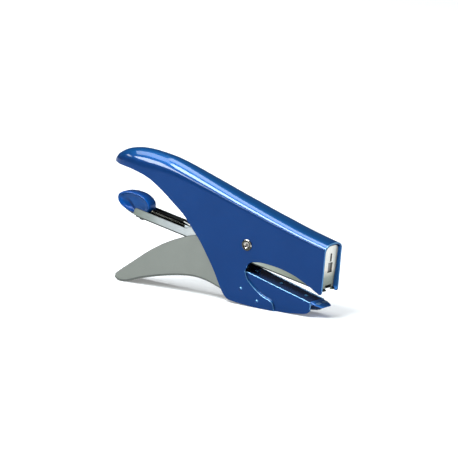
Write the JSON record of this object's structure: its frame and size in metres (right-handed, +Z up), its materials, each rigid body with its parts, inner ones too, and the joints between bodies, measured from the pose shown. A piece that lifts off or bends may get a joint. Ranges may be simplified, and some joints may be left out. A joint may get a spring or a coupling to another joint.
{
  "type": "plier stapler",
  "caption": "Hand-held plier stapler with pressed shell, squeeze lever, swinging rear-loading magazine, driver blade and sprung pusher.",
  "frame": {"origin": "middle of the bounding box, on the surface the tool stands on", "axes": "+X towards the stapling nose, +Y across the tool, +Z up"},
  "size_m": [0.1745, 0.022, 0.0902],
  "materials": {
    "shell_blue": "glossy metallic blue stove enamel",
    "jaw_navy": "glossy dark blue enamel",
    "lever_gray": "satin gray enamel",
    "nickel": "bright nickel plate",
    "zinc": "bright zinc-plated steel",
    "bright_sheet": "nickel-plated sheet",
    "blade_steel": "hardened ground steel",
    "spring_steel": "oiled black spring steel",
    "knob_blue": "glossy blue moulding",
    "black_plastic": "black moulding"
  },
  "bodies": {
    "body": {"body_shell": "shell_blue", "anvil_arm": "jaw_navy", "anvil_tip": "jaw_navy", "jaw_rivets": "shell_blue", "pivot_rivet": "nickel", "return_spring": "spring_steel"},
    "lever": {"lever_shell": "lever_gray", "nose_pin": "zinc", "spring_bar": "zinc"},
    "magazine": {"magazine_channel": "zinc", "staple_core": "zinc", "magazine_cover": "bright_sheet", "head_guide": "zinc", "front_plate": "bright_sheet", "core_rivets": "zinc", "driver_spring": "spring_steel"},
    "driver": {"driver_blade": "blade_steel", "driver_carrier": "blade_steel", "driver_rivets": "zinc"},
    "loader": {"loader_knob": "knob_blue", "guide_rod": "spring_steel", "rod_collar": "spring_steel", "rod_tip": "spring_steel", "pusher_spring": "spring_steel", "latch_leaf": "zinc", "latch_button": "black_plastic"},
    "pusher": {"pusher_block": "black_plastic", "pusher_slipper": "bright_sheet"}
  },
  "joints": [
    {"name": "lever_squeeze", "type": "hinge", "parent": "body", "child": "lever", "pos_m": [0.0247, 0, 0.041], "axis": [0, 1, 0], "range_deg": [0, 16], "stiffness_Nm_per_rad": 0.5, "springref_deg": -40.11, "deforming": ["return_spring"]},
    {"name": "magazine_swing", "type": "hinge", "parent": "body", "child": "magazine", "pos_m": [0.0247, 0, 0.041], "axis": [0, 1, 0], "range_deg": [0, 7]},
    {"name": "driver_slide", "type": "slide", "parent": "magazine", "child": "driver", "axis": [-0.0872, 0, -0.9962], "range_m": [0, 0.00786], "deforming": ["driver_spring"]},
    {"name": "loader_pull", "type": "slide", "parent": "magazine", "child": "loader", "axis": [-0.9848, 0, 0.1736], "range_m": [0, 0.095]},
    {"name": "pusher_travel", "type": "slide", "parent": "loader", "child": "pusher", "axis": [0.9848, 0, -0.1736], "range_m": [0, 0.084], "deforming": ["pusher_spring"]}
  ],
  "couplings": [
    {"joint": "magazine_swing", "follows": "lever_squeeze", "ratio": 0.4375},
    {"joint": "driver_slide", "follows": "lever_squeeze", "m_per_rad": 0.02808}
  ]
}
